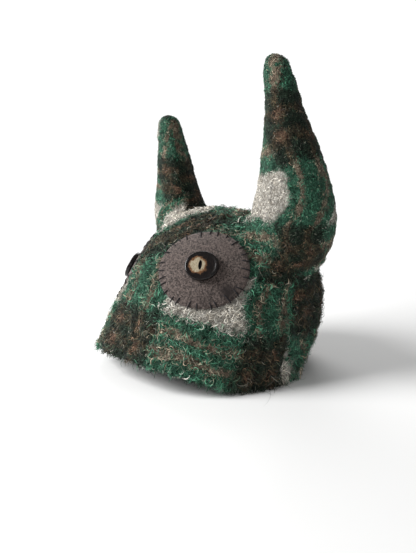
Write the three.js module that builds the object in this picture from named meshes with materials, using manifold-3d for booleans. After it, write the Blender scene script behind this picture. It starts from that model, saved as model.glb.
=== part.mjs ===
// A horned beanie sewn from thick felted tartan cloth, with two felt eye patches and two horn buttons.
// Millimetres, +Z up. The face looks along -Y, the wearer's left is +X, and the cap stands on Z = 0.
import * as THREE from "three";
import { mergeVertices } from "three/addons/utils/BufferGeometryUtils.js";
import Module from "manifold-3d";

const wasm = await Module();
wasm.setup();

// Driving dimensions of the cap.
const rimHalfWidth = 99; // from the middle plane to a side seam
const rimFrontReach = 104; // from the line between the side seams forward to the front of the rim
const rimBackReach = 98; // and back to the nape
const crownHeight = 149; // from the lowest stretches of the rim to the top of the crown
const seamSetBack = 26; // how far a side seam swings back on its way up to the horn
const clothThickness = 4;
const seamGap = 0.3; // between pieces that are sewn or laid on each other
const frontRimLift = 22; // the rim is this far up at the middle of the front
const quarterRimLift = 24; // and this far up halfway between a side seam and the nape
const rimFlattening = 3; // how much of the rim's lowest stretches is pressed flat where they rest

// How the rim's lift runs round the cap and up the wall, as powers.
const frontLiftPower = 1.2; // more keeps the lift to the middle of the front
const quarterLiftPower = 1.15; // more moves the highest point towards the side seam
const liftFadePower = 1.5; // more lets the wall lose the lift sooner

// Driving dimensions of the horns. The wearer's left one stands taller.
const hornWidth = 80; // across the broad face, just above the foot
const hornThickness = 64; // from broad face to broad face, at the same height
const hornTurn = 30; // degrees that a broad face looks outward from straight ahead
const hornFootHeight = 84; // where the horn starts, inside the cap
const leftHornTip = 284; // above the table
const rightHornTip = 237;
const leftHornSpread = 79; // from the middle plane to the horn's middle
const rightHornSpread = 76;
const hornSetBack = 35; // from the line between the side seams' foot back to the horn's middle
const hornForwardLean = 22; // how far forward the tip stands of that middle

// Driving dimensions of the eyes.
const patchWidth = 84;
const patchHeight = 77;
const patchThickness = 2;
const buttonWidth = 30;
const buttonHeight = 27;
const buttonThickness = 4.5;
const buttonEdge = 1.2; // the round along the button's edges
const buttonRim = 3.6; // how wide a raised rim the button's hollowed face has
const buttonDish = 0.6; // how deep the face is hollowed
const leftEyeAngle = 35.5; // degrees round from the middle of the front
const rightEyeAngle = 50;
const leftEyeLevel = 0.597; // shares of the way from the rim to the crown's top
const rightEyeLevel = 0.505;

// The cap's sections from the rim up. Reaches are shares of the rim's own, heights of the crown's, setBack
// of the seam's own. The squares are powers of the outline: 2 is an ellipse, more is boxier.
const capSections = [
  { front: 1.0, side: 1.0, back: 0.98, height: 0.0, setBack: 0.1, frontSquare: 2.35, backSquare: 2.2 },
  { front: 0.968, side: 0.995, back: 0.995, height: 0.135, setBack: 0.25, frontSquare: 2.2, backSquare: 2.3 },
  { front: 0.954, side: 0.99, back: 0.965, height: 0.27, setBack: 0.5, frontSquare: 2.05, backSquare: 2.3 },
  { front: 0.938, side: 0.975, back: 0.895, height: 0.41, setBack: 0.78, frontSquare: 1.9, backSquare: 2.3 },
  { front: 0.898, side: 0.94, back: 0.785, height: 0.55, setBack: 0.98, frontSquare: 1.8, backSquare: 2.2 },
  { front: 0.803, side: 0.86, back: 0.665, height: 0.69, setBack: 1.02, frontSquare: 1.72, backSquare: 2.1 },
  { front: 0.565, side: 0.7, back: 0.525, height: 0.83, setBack: 0.88, frontSquare: 1.75, backSquare: 2.0 },
  { front: 0.241, side: 0.41, back: 0.3, height: 0.95, setBack: 0.65, frontSquare: 1.9, backSquare: 2.0 },
  { front: 0.0, side: 0.0, back: 0.0, height: 1.0, setBack: 0.5, frontSquare: 2.0, backSquare: 2.0 },
];

// A horn's sections from the foot to the tip. Widths and thicknesses are shares of the horn's own,
// spread is a share of the horn's spread, lean of its forward lean.
const hornSections = [
  { rise: 0.0, width: 0.78, thickness: 0.76, spread: 0.75, lean: 0.0 },
  { rise: 0.13, width: 0.94, thickness: 0.9, spread: 0.9, lean: 0.0 },
  { rise: 0.27, width: 0.97, thickness: 0.9, spread: 1.01, lean: 0.0 },
  { rise: 0.4, width: 0.86, thickness: 0.82, spread: 1.07, lean: 0.1 },
  { rise: 0.54, width: 0.69, thickness: 0.67, spread: 1.07, lean: 0.26 },
  { rise: 0.68, width: 0.52, thickness: 0.54, spread: 1.04, lean: 0.46 },
  { rise: 0.8, width: 0.38, thickness: 0.44, spread: 1.01, lean: 0.66 },
  { rise: 0.9, width: 0.31, thickness: 0.37, spread: 0.99, lean: 0.84 },
  { rise: 0.97, width: 0.22, thickness: 0.27, spread: 0.97, lean: 0.94 },
  { rise: 1.0, width: 0.0, thickness: 0.0, spread: 0.96, lean: 1.0 },
];

const panelStepsAround = 26;
const panelStepsUp = 18;
const hornSides = 24;
const hornStepsUp = 22;
const discSides = 32;
const mergeReach = 1e-3; // points nearer than this to each other are one

// Reads a column of a table at a share of its length, along a smooth curve through the rows.
function column(rows, name, share) {
  const values = rows.map((row) => new THREE.Vector3(row[name], 0, 0));
  return new THREE.CatmullRomCurve3(values, false, "catmullrom", 0.5).getPoint(share).x;
}

function signedPower(value, power) {
  return Math.sign(value) * Math.abs(value) ** power;
}

// How far the rim's edge is lifted off the table. It rests at the side seams and at the nape.
function rimLift(angle) {
  const cos = Math.cos(angle);
  const fromNape = Math.acos(-cos) / (Math.PI / 2); // 1 at a side seam
  const lift =
    cos > 0
      ? (frontRimLift + rimFlattening) * cos ** frontLiftPower
      : (quarterRimLift + rimFlattening) * Math.sin(Math.PI * fromNape ** quarterLiftPower) ** 2;
  return Math.max(lift - rimFlattening, 0);
}

// A point of the cap's outer face. Angle 0 is the middle of the front and 90 degrees the left side seam.
function capPoint(angle, rise) {
  const forward = Math.cos(angle) > 0;
  const reach = forward
    ? -rimFrontReach * column(capSections, "front", rise)
    : rimBackReach * column(capSections, "back", rise);
  const power = 2 / column(capSections, forward ? "frontSquare" : "backSquare", rise);
  return new THREE.Vector3(
    rimHalfWidth * column(capSections, "side", rise) * signedPower(Math.sin(angle), power),
    seamSetBack * column(capSections, "setBack", rise) + reach * Math.abs(Math.cos(angle)) ** power,
    crownHeight * column(capSections, "height", rise) + rimLift(angle) * (1 - rise) ** liftFadePower,
  );
}

// The direction that the cap's outer face looks in.
function capNormal(angle, rise) {
  const step = 0.01; // in radians round the cap, and as a share of the way up
  const low = Math.max(rise - step, 0);
  const high = Math.min(rise + step, 1 - step);
  const around = capPoint(angle + step, high).sub(capPoint(angle - step, high));
  const up = capPoint(angle, high).sub(capPoint(angle, low));
  return around.cross(up).normalize();
}

// A point a distance out from the cap's outer face; a negative distance lies inside it.
function capOffset(angle, rise, distance) {
  const normal = rise === 1 ? new THREE.Vector3(0, 0, 1) : capNormal(angle, rise);
  if (rise === 0) normal.setZ(0).normalize(); // the rim's edge is cut square
  return capPoint(angle, rise).addScaledVector(normal, distance);
}

// Gathers points and faces into one closed geometry; each face is listed anticlockwise from outside.
class Body {
  constructor() {
    this.points = [];
    this.faces = [];
  }

  add(point) {
    this.points.push(point.x, point.y, point.z);
    return this.points.length / 3 - 1;
  }

  quad(a, b, c, d) {
    this.faces.push(a, b, c, a, c, d);
  }

  // Joins two rows of the same length, the second above the first.
  strip(lower, upper) {
    for (let i = 0; i + 1 < lower.length; i += 1) {
      this.quad(lower[i], lower[i + 1], upper[i + 1], upper[i]);
    }
  }

  fan(ring, centre) {
    for (let i = 0; i + 1 < ring.length; i += 1) {
      this.faces.push(ring[i + 1], ring[i], centre);
    }
  }

  // Merges the points that coincide, where rows close on themselves or end in one point.
  geometry() {
    const loose = new THREE.BufferGeometry();
    loose.setAttribute("position", new THREE.Float32BufferAttribute(this.points, 3));
    loose.setIndex(this.faces);
    const merged = mergeVertices(loose, mergeReach);
    const kept = [];
    for (let i = 0; i < merged.index.count; i += 3) {
      const [a, b, c] = merged.index.array.subarray(i, i + 3);
      if (a !== b && b !== c && c !== a) kept.push(a, b, c);
    }
    merged.setIndex(kept);
    return merged;
  }
}

// One wall of cloth between two angles of the cap, with half the seam's gap left at its sewn edges.
function panelGeometry(from, to, side) {
  const body = new Body();
  const rows = [];
  for (let j = 0; j <= panelStepsUp; j += 1) {
    const rise = j / panelStepsUp;
    const outer = [];
    const inner = [];
    for (let i = 0; i <= panelStepsAround; i += 1) {
      const angle = THREE.MathUtils.lerp(from, to, i / panelStepsAround);
      const sewn = i === 0 || i === panelStepsAround || j === panelStepsUp;
      const back = new THREE.Vector3(0, sewn ? (side * seamGap) / 2 : 0, 0);
      outer.push(body.add(capOffset(angle, rise, 0).add(back)));
      inner.push(body.add(capOffset(angle, rise, -clothThickness).add(back)));
    }
    rows.push({ outer, inner });
  }
  for (let j = 0; j < panelStepsUp; j += 1) {
    const low = rows[j];
    const high = rows[j + 1];
    const last = panelStepsAround;
    body.strip(low.outer, high.outer);
    body.strip(high.inner, low.inner);
    body.quad(low.inner[0], low.outer[0], high.outer[0], high.inner[0]);
    body.quad(low.outer[last], low.inner[last], high.inner[last], high.outer[last]);
  }
  body.strip(rows[0].inner, rows[0].outer);
  return body.geometry();
}

// The whole cap as a solid, grown by a distance, to cut other pieces clear of it.
function grownCap(distance) {
  const body = new Body();
  const steps = 2 * panelStepsAround;
  let below = null;
  for (let j = 0; j <= panelStepsUp; j += 1) {
    const ring = [];
    for (let i = 0; i <= steps; i += 1) {
      ring.push(body.add(capOffset((i / steps) * 2 * Math.PI, j / panelStepsUp, distance)));
    }
    if (below) body.strip(below, ring);
    else body.fan(ring, body.add(new THREE.Vector3(0, 0, 0)));
    below = ring;
  }
  return solid(body.geometry());
}

// A horn: ellipses stacked along a middle line that leans forward. Side is 1 for the left horn.
function hornGeometry(side, spread, tipHeight) {
  const body = new Body();
  const turn = THREE.MathUtils.degToRad(hornTurn);
  const wide = new THREE.Vector3(side * Math.cos(turn), Math.sin(turn), 0);
  const deep = new THREE.Vector3(side * Math.sin(turn), -Math.cos(turn), 0);
  let below = null;
  for (let j = 0; j <= hornStepsUp; j += 1) {
    const share = j / hornStepsUp;
    const rise = column(hornSections, "rise", share);
    const middle = new THREE.Vector3(
      side * spread * column(hornSections, "spread", share),
      hornSetBack - hornForwardLean * column(hornSections, "lean", share),
      THREE.MathUtils.lerp(hornFootHeight, tipHeight, rise),
    );
    const ring = [];
    for (let i = 0; i <= hornSides; i += 1) {
      const angle = -side * (i / hornSides) * 2 * Math.PI;
      const across = (hornWidth / 2) * column(hornSections, "width", share) * Math.cos(angle);
      const through = (hornThickness / 2) * column(hornSections, "thickness", share) * Math.sin(angle);
      ring.push(body.add(middle.clone().addScaledVector(wide, across).addScaledVector(deep, through)));
    }
    if (below) body.strip(below, ring);
    else body.fan(ring, body.add(middle));
    below = ring;
  }
  return body.geometry();
}

// A closed geometry with merged points as a solid that can be cut.
function solid(geometry) {
  return new wasm.Manifold(
    new wasm.Mesh({
      numProp: 3,
      vertProperties: new Float32Array(geometry.attributes.position.array),
      triVerts: new Uint32Array(geometry.index.array),
    }),
  );
}

function geometryOf(cut) {
  const mesh = cut.getMesh();
  const geometry = new THREE.BufferGeometry();
  geometry.setAttribute("position", new THREE.Float32BufferAttribute(mesh.vertProperties, 3));
  geometry.setIndex([...mesh.triVerts]);
  return geometry;
}

// A round felt patch that follows the cap, and the oval button sewn on its middle.
function eyeMeshes(name, degrees, rise) {
  const angle = THREE.MathUtils.degToRad(degrees);
  const outward = capNormal(angle, rise);
  const level = new THREE.Vector3(0, 0, 1).cross(outward).normalize();
  const frame = new THREE.Matrix4().makeBasis(level, outward, level.clone().cross(outward));

  const punch = new THREE.CylinderGeometry(1, 1, 1, discSides);
  punch.deleteAttribute("normal");
  punch.deleteAttribute("uv");
  punch.scale(patchWidth / 2, patchWidth, patchHeight / 2);
  punch.applyMatrix4(frame.clone().setPosition(capPoint(angle, rise)));
  const felt = grownCap(seamGap + patchThickness).subtract(grownCap(seamGap));
  const patch = new THREE.Mesh(geometryOf(felt.intersect(solid(mergeVertices(punch, mergeReach)))), feltMaterial);
  patch.name = `${name}_patch`;

  const radius = buttonWidth / 2;
  const profile = new THREE.Path();
  profile.moveTo(0, 0);
  profile.lineTo(radius - buttonEdge, 0);
  profile.absarc(radius - buttonEdge, buttonEdge, buttonEdge, -Math.PI / 2, 0);
  profile.absarc(radius - buttonEdge, buttonThickness - buttonEdge, buttonEdge, 0, Math.PI / 2);
  profile.lineTo(radius - buttonRim, buttonThickness - buttonDish);
  profile.lineTo(0, buttonThickness - buttonDish);
  const turned = new THREE.LatheGeometry(profile.getPoints(2), discSides);
  turned.scale(1, 1, buttonHeight / buttonWidth);
  const button = new THREE.Mesh(turned, buttonMaterial);
  button.name = `${name}_button`;
  button.position.copy(capOffset(angle, rise, seamGap + patchThickness + seamGap));
  button.quaternion.setFromRotationMatrix(frame);
  return [patch, button];
}

const clothMaterial = new THREE.MeshStandardMaterial({ color: 0x3f5a44, roughness: 0.95, metalness: 0 });
const hornMaterial = new THREE.MeshStandardMaterial({ color: 0x4d6b4d, roughness: 0.95, metalness: 0 });
const feltMaterial = new THREE.MeshStandardMaterial({ color: 0x6c5e5a, roughness: 1, metalness: 0 });
const buttonMaterial = new THREE.MeshStandardMaterial({ color: 0x1c1712, roughness: 0.2, metalness: 0 });

function clothMesh(name, geometry, material) {
  const mesh = new THREE.Mesh(geometry, material);
  mesh.name = name;
  return mesh;
}

const quarter = Math.PI / 2;
const hornClearance = grownCap(seamGap);
const leftHorn = solid(hornGeometry(1, leftHornSpread, leftHornTip)).subtract(hornClearance);
const rightHorn = solid(hornGeometry(-1, rightHornSpread, rightHornTip)).subtract(hornClearance);

const beanie = new THREE.Group();
beanie.add(clothMesh("front_panel", panelGeometry(-quarter, quarter, -1), clothMaterial));
beanie.add(clothMesh("back_panel", panelGeometry(quarter, 3 * quarter, 1), clothMaterial));
beanie.add(clothMesh("left_horn", geometryOf(leftHorn), hornMaterial));
beanie.add(clothMesh("right_horn", geometryOf(rightHorn), hornMaterial));
beanie.add(...eyeMeshes("left_eye", leftEyeAngle, leftEyeLevel));
beanie.add(...eyeMeshes("right_eye", -rightEyeAngle, rightEyeLevel));

// The origin is the middle of the space that the beanie takes up on the table.
const space = new THREE.Box3().setFromObject(beanie);
beanie.position.set(-(space.min.x + space.max.x) / 2, -(space.min.y + space.max.y) / 2, -space.min.z);

export default beanie;
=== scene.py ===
import math
import bmesh
import bpy
import numpy as np
from mathutils import Matrix, Vector, noise
from mathutils.bvhtree import BVHTree


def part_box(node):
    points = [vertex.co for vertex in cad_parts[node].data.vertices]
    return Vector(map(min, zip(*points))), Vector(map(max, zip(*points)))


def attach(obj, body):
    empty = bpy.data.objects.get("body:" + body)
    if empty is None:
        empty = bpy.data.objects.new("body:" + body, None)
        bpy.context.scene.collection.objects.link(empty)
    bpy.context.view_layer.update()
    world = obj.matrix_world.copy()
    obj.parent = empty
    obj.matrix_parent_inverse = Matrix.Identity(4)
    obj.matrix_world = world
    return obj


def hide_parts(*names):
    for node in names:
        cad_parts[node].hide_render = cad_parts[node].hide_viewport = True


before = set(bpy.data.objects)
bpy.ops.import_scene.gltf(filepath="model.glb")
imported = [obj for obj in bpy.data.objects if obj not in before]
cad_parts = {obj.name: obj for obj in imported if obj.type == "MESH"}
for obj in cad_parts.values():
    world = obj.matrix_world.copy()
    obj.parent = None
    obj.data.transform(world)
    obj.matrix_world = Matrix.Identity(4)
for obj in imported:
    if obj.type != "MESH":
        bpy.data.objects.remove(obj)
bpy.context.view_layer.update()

mm = 0.001

# what a user would change about the view
view = {
    "place": (0.5153, -0.4339, 0.208),
    "pitch": 79.5,  # degrees from straight down
    "turn": 50.0,  # degrees round the hat, from its front
    "lens": 46.29,
    "picture": (416, 553),  # pixels across and down
}
light = {
    "lamps": {  # each one's place, size and power
        "key": ((-0.75, -1.1, 0.95), 1.0, 42.0),
        "side": ((0.9, -0.9, 0.45), 0.7, 1.0),
        "rim": ((-0.9, 0.7, 0.9), 1.0, 9.0),
    },
    "aim": (0, 0, 0.13),
    "sky": (1.0, 1.0, 1.0),
    "skyStrength": 0.27,
    "backdrop": 1.1,  # how bright the same sky looks behind the hat
    "floor": (0.88, 0.88, 0.875),
    "floorReach": 1.0,
    "floorClear": (0.32, 0.85),  # from here to there the floor fades into the backdrop
}


# camera, floor and light
def makeCamera():
    camera = bpy.data.objects.new("camera", bpy.data.cameras.new("camera"))
    bpy.context.scene.collection.objects.link(camera)
    camera.location = view["place"]
    camera.rotation_euler = (math.radians(view["pitch"]), 0, math.radians(view["turn"]))
    camera.data.lens = view["lens"]
    bpy.context.scene.camera = camera
    bpy.context.scene.view_settings.view_transform = "Standard"


def makeLamp(name, place, size, power):
    lamp = bpy.data.lights.new(name, "AREA")
    lamp.shape = "DISK"
    lamp.size = size
    lamp.energy = power
    holder = bpy.data.objects.new(name, lamp)
    bpy.context.scene.collection.objects.link(holder)
    holder.location = place
    aim = Vector(light["aim"]) - Vector(place)
    holder.rotation_euler = aim.to_track_quat("-Z", "Y").to_euler()


def makeStudio():
    world = bpy.data.worlds.new("studio")
    bpy.context.scene.world = world
    world.use_nodes = True
    nodes, links = world.node_tree.nodes, world.node_tree.links
    sky = nodes["Background"]
    sky.inputs["Color"].default_value = (*light["sky"], 1)
    strength = nodes.new("ShaderNodeMapRange")
    strength.inputs["To Min"].default_value = light["skyStrength"]
    strength.inputs["To Max"].default_value = light["backdrop"]
    links.new(nodes.new("ShaderNodeLightPath").outputs["Is Camera Ray"], strength.inputs["Value"])
    links.new(strength.outputs[0], sky.inputs["Strength"])
    for name, values in light["lamps"].items():
        makeLamp(name, *values)
    mesh = bpy.data.meshes.new("floor")
    reach = light["floorReach"]
    mesh.from_pydata([(-reach, -reach, 0), (reach, -reach, 0), (reach, reach, 0), (-reach, reach, 0)],
                     [], [(0, 1, 2, 3)])
    floor = bpy.data.objects.new("floor", mesh)
    bpy.context.scene.collection.objects.link(floor)
    paint, board, surface = newMaterial("pale_floor", {"Base Color": (*light["floor"], 1), "Roughness": 0.8})
    away = board.vector("LENGTH", board.here(), out="Value")
    feed(board, surface, "Alpha", away.fade(light["floorClear"][1], light["floorClear"][0]))
    mesh.materials.append(paint)


# node sums written as Python expressions, for shaders and geometry alike
class Wire:
    def __init__(self, board, socket):
        self.board = board
        self.socket = socket

    def math(self, operation, *others):
        return self.board.node("ShaderNodeMath", [self, *others], operation=operation)

    def __add__(self, other):
        return self.math("ADD", other)

    __radd__ = __add__

    def __sub__(self, other):
        return self.math("SUBTRACT", other)

    def __rsub__(self, other):
        return self.board.node("ShaderNodeMath", [other, self], operation="SUBTRACT")

    def __mul__(self, other):
        return self.math("MULTIPLY", other)

    __rmul__ = __mul__

    def __truediv__(self, other):
        return self.math("DIVIDE", other)

    def __rtruediv__(self, other):
        return self.board.node("ShaderNodeMath", [other, self], operation="DIVIDE")

    def fade(self, start, end):
        # 0 at start and 1 at end, with a soft ramp between
        return self.board.node("ShaderNodeMapRange", {"Value": self, "From Min": start, "From Max": end},
                               interpolation_type="SMOOTHSTEP")


class Board:
    def __init__(self, tree):
        self.tree = tree

    def node(self, kind, inputs=None, out=0, **settings):
        node = self.tree.nodes.new(kind)
        for name, value in settings.items():
            setattr(node, name, value)
        live = [s for s in node.inputs if s.enabled]
        pairs = enumerate(inputs) if isinstance(inputs, list) else (inputs or {}).items()
        for key, value in pairs:
            socket = live[key] if isinstance(key, int) else next(s for s in live if s.name == key)
            if isinstance(value, Wire):
                self.tree.links.new(value.socket, socket)
            elif value is not None:
                socket.default_value = value
        outs = [s for s in node.outputs if s.enabled]
        if isinstance(out, str):
            return Wire(self, next(s for s in outs if s.name == out))
        return Wire(self, outs[out])

    def geo(self, kind, *values, **settings):
        return self.node("GeometryNode" + kind, *values, **settings)

    def vector(self, operation, *values, out=0):
        return self.node("ShaderNodeVectorMath", list(values), out, operation=operation)

    def scaled(self, value, factor):
        return self.node("ShaderNodeVectorMath", {"Vector": value, "Scale": factor}, operation="SCALE")

    def join(self, x, y, z):
        return self.node("ShaderNodeCombineXYZ", [x, y, z])

    def sway(self, colour, reach):
        # a noise's colour as a move of up to half the reach in every direction
        return self.scaled(self.vector("SUBTRACT", colour, (0.5,) * 3), reach)

    def here(self):
        return self.node("ShaderNodeTexCoord", out="Object")

    def parts(self, value):
        node = self.node("ShaderNodeSeparateXYZ", [value]).socket.node
        return [Wire(self, s) for s in node.outputs]

    def blend(self, factor, one, two):
        one, two = [(*c, 1) if isinstance(c, tuple) else c for c in (one, two)]
        return self.node("ShaderNodeMix", {"Factor": factor, "A": one, "B": two}, data_type="RGBA")

    def speckle(self, place, size, detail=2.0, rough=0.55, out="Fac"):
        return self.node("ShaderNodeTexNoise", {
            "Vector": place, "Scale": 1 / size, "Detail": detail, "Roughness": rough}, out,
            noise_dimensions="3D")


def newMaterial(name, constants):
    material = bpy.data.materials.new(name)
    material.use_nodes = True
    board = Board(material.node_tree)
    surface = material.node_tree.nodes["Principled BSDF"]
    for socket, value in constants.items():
        surface.inputs[socket].default_value = value
    return material, board, surface


def feed(board, surface, socket, value):
    board.tree.links.new(value.socket, surface.inputs[socket])


def feedBump(board, surface, strength, distance, height):
    bump = board.node("ShaderNodeBump", {"Strength": strength, "Distance": distance, "Height": height})
    feed(board, surface, "Normal", bump)


makeCamera()
makeStudio()
print("camera, floor and light are made")


# mesh helpers
mergeReach = 0.01 * mm


def smooth(value, start, end):
    share = np.clip((value - start) / (end - start), 0, 1)
    return share * share * (3 - 2 * share)


def numbersOf(items, field, width=1, kind=np.float64):
    # one number, or a row of them, for each vertex, edge, corner or face
    found = np.empty(len(items) * width, dtype=kind)
    items.foreach_get(field, found)
    return found.reshape(-1, width) if width > 1 else found


def coordsOf(mesh):
    return numbersOf(mesh.vertices, "co", 3)


def normalsOf(mesh):
    return numbersOf(mesh.vertices, "normal", 3)


def edgesOf(mesh):
    return numbersOf(mesh.edges, "vertices", 2, np.int64)


def cornersOf(mesh):
    return numbersOf(mesh.loops, "vertex_index", 1, np.int64)


def setCoords(mesh, coords):
    mesh.vertices.foreach_set("co", coords.ravel())
    mesh.update()


def setPointValues(mesh, layers):
    for name, values in layers.items():
        mesh.attributes.new(name, "FLOAT", "POINT").data.foreach_set("value", values.astype(np.float32))


def meshFrom(shape, name):
    mesh = bpy.data.meshes.new(name)
    shape.to_mesh(mesh)
    shape.free()
    return mesh


def relax(coords, edges, amount):
    # moves each point towards the middle of its neighbours by amount, one value or one for each point
    count = len(coords)
    one, two = edges[:, 0], edges[:, 1]
    degree = np.bincount(one, minlength=count) + np.bincount(two, minlength=count)
    middle = np.empty_like(coords)
    for axis in range(3):
        middle[:, axis] = (np.bincount(one, coords[two, axis], count)
                           + np.bincount(two, coords[one, axis], count)) / np.maximum(degree, 1)
    share = amount if np.isscalar(amount) else amount[:, None]
    return coords + (middle - coords) * share


def mergedCopy(names, growth):
    # the solids of some nodes as one mesh, grown by a hair so that their gaps close
    shape = bmesh.new()
    for name in names:
        shape.from_mesh(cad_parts[name].data)
    bmesh.ops.remove_doubles(shape, verts=shape.verts, dist=mergeReach)
    shape.normal_update()
    if growth:
        for vertex in shape.verts:
            vertex.co += vertex.normal * growth
    return meshFrom(shape, "copy")


def newObject(name, mesh):
    piece = bpy.data.objects.new(name, mesh)
    bpy.context.scene.collection.objects.link(piece)
    return piece


def applied(piece):
    # the piece's mesh with its modifiers applied, which are then removed
    graph = bpy.context.evaluated_depsgraph_get()
    mesh = bpy.data.meshes.new_from_object(piece.evaluated_get(graph))
    piece.modifiers.clear()
    piece.data = mesh
    return piece


def voxelShape(name, names, growth, voxel):
    piece = newObject(name, mergedCopy(names, growth))
    remesh = piece.modifiers.new("remesh", "REMESH")
    remesh.mode = "VOXEL"
    remesh.voxel_size = voxel
    return applied(piece)


def treeOf(mesh):
    shape = bmesh.new()
    shape.from_mesh(mesh)
    tree = BVHTree.FromBMesh(shape)
    shape.free()
    return tree


def distances(tree, coords):
    return np.array([tree.find_nearest(Vector(p))[3] for p in coords])


# the cloth of cap and horns
capNodes = ("front_panel", "back_panel")
hornSides = {"left_horn": 1, "right_horn": -1}
hornNodes = tuple(hornSides)
patchNodes = ("left_eye_patch", "right_eye_patch")
cloth = {
    "voxel": 2.0 * mm,
    "growth": 0.25 * mm,  # closes the gaps between the solids
    "facetRounds": 14,  # smoothing that takes the facets away and keeps the size
    "facetPulls": (0.5, -0.52),
    "footReach": 15 * mm,  # how far the soft turn from crown into horn reaches
    "footCore": 0.35,  # share of that reach which is smoothed in full
    "footPull": 0.9,
    "footRounds": 70,
    "lump": 1.5 * mm,  # slow dents of stuffed cloth
    "lumpSize": 34 * mm,
    "nub": 2.2 * mm,  # felted knots of the cap; the horns' are smaller
    "nubSize": 6.5 * mm,
    "fineNub": (0.5, 2.1),  # the small knots' share, and how much smaller they are
    "hornCalm": 0.55,  # share of the knots that a horn loses, from its foot up
    "hornCalmReach": (4 * mm, 30 * mm),
    "rimCalm": (2 * mm, 12 * mm),  # the rim stays flat on the table
    "noiseStarts": (3.1, 7.7, 1.3),  # where lumps, knots and small knots start in the noise
    "seamDepth": 0.9 * mm,
    "seamWidth": 3.0 * mm,
    "seamFade": (-3 * mm, -1 * mm),
    "seamTurn": 30.0,  # degrees from the side to where a horn's seam runs
    "footTilt": 42.0,  # degrees of the plane that parts horn from crown
    "footPlane": 132 * mm,
    "patchRelief": 0.2,  # share of the knots left under a felt patch
    "patchEdge": (1 * mm, 4 * mm),
    "tableGap": 0.05 * mm,
    "shellGrowth": 0.3 * mm,
    "cutterHalf": 0.25,
}
slices = {"count": 14, "reach": 7 * mm, "hornInset": 8 * mm, "seamInset": (4 * mm, 3 * mm)}

capTree, hornTree, patchTree = [treeOf(mergedCopy(names, 0)) for names in (capNodes, hornNodes, patchNodes)]


def sliceValues(name, heights, pick):
    # a value picked from a node's points near each height
    coords = coordsOf(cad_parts[name].data)
    return np.array([pick(coords[np.abs(coords[:, 2] - height) < slices["reach"]]) for height in heights])


def middleOf(points):
    return (points.min(0) + points.max(0)) / 2


def levelsBetween(low, high):
    return np.linspace(low, high, slices["count"])


inset, (seamFoot, seamHead) = slices["hornInset"], slices["seamInset"]
hornHeights = {n: levelsBetween(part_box(n)[0].z + inset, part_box(n)[1].z - inset) for n in hornNodes}
hornAxes = {n: sliceValues(n, hornHeights[n], middleOf) for n in hornNodes}
seamHeights = levelsBetween(seamFoot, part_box("back_panel")[1].z - seamHead)
seamPlaces = sliceValues("back_panel", seamHeights, lambda points: points[:, 1].min())


def seamGap(coords):
    # how far each point lies behind the seam between the front and back cloth
    return coords[:, 1] - np.interp(coords[:, 2], seamHeights, seamPlaces)


def hornFrame(name, coords):
    # distance and angle round a horn's middle line; angle 0 looks to the front
    axis = np.stack([np.interp(coords[:, 2], hornHeights[name], hornAxes[name][:, i]) for i in (0, 1)], 1)
    away = coords[:, :2] - axis
    return np.hypot(away[:, 0], away[:, 1]), np.arctan2(away[:, 0], -away[:, 1]), away


def noiseField(coords, size, offset):
    shift = Vector((offset, offset * 2.7, offset * 0.3))
    return np.array([noise.noise(Vector(p) / size + shift) for p in coords])


def makeHatShape():
    hat = voxelShape("hat", capNodes + hornNodes, cloth["growth"], cloth["voxel"])
    mesh = hat.data
    coords, edges = coordsOf(mesh), edgesOf(mesh)
    for _ in range(cloth["facetRounds"]):
        for pull in cloth["facetPulls"]:
            coords = relax(coords, edges, pull)
    near = np.maximum(distances(capTree, coords), distances(hornTree, coords))
    reach = cloth["footReach"]
    share = cloth["footPull"] * smooth(-near, -reach, -reach * cloth["footCore"])
    for _ in range(cloth["footRounds"]):
        coords = relax(coords, edges, share)
    setCoords(mesh, coords)
    return hat


def roughen(hat):
    mesh = hat.data
    coords, normals = coordsOf(mesh), normalsOf(mesh)
    lumpStart, nubStart, fineStart = cloth["noiseStarts"]
    fineShare, finer = cloth["fineNub"]
    lumps = noiseField(coords, cloth["lumpSize"], lumpStart)
    nubs = noiseField(coords, cloth["nubSize"], nubStart)
    nubs = nubs + fineShare * noiseField(coords, cloth["nubSize"] / finer, fineStart)
    capGap = distances(capTree, coords)
    under = smooth(distances(patchTree, coords), *cloth["patchEdge"])
    calm = cloth["patchRelief"] + (1 - cloth["patchRelief"]) * under
    high = smooth(coords[:, 2], *cloth["rimCalm"])
    seam = np.exp(-(seamGap(coords) / cloth["seamWidth"]) ** 2)
    seam = seam * smooth(-capGap, *cloth["seamFade"])
    nubs = nubs * (1 - cloth["hornCalm"] * smooth(capGap, *cloth["hornCalmReach"]))
    move = (cloth["lump"] * lumps + cloth["nub"] * nubs) * high * calm - cloth["seamDepth"] * seam
    moved = coords + normals * move[:, None]
    moved[:, 2] = np.maximum(moved[:, 2], cloth["tableGap"])
    setCoords(mesh, moved)


def boxCutter(matrix, half):
    shape = bmesh.new()
    bmesh.ops.create_cube(shape, size=2 * half)
    mesh = meshFrom(shape, "cutter")
    mesh.transform(matrix)
    return newObject("cutter", mesh)


def cut(piece, cutter, operation):
    boolean = piece.modifiers.new("cut", "BOOLEAN")
    boolean.solver = "MANIFOLD"
    boolean.operation = operation
    boolean.object = cutter
    return applied(piece)


def copyOf(piece, name):
    return newObject(name, piece.data.copy())


def hornCutter(side, shell):
    # everything beyond a tilted plane through the horn's foot, less the cap's own wall
    half = cloth["cutterHalf"]
    tilt = math.radians(cloth["footTilt"]) * side
    normal = Vector((math.cos(tilt) * side, 0, abs(math.sin(tilt))))
    turn = normal.to_track_quat("Z", "Y").to_matrix().to_4x4()
    place = Matrix.Translation(normal * (cloth["footPlane"] + half))
    return cut(boxCutter(place @ turn, half), shell, "DIFFERENCE")


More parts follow.
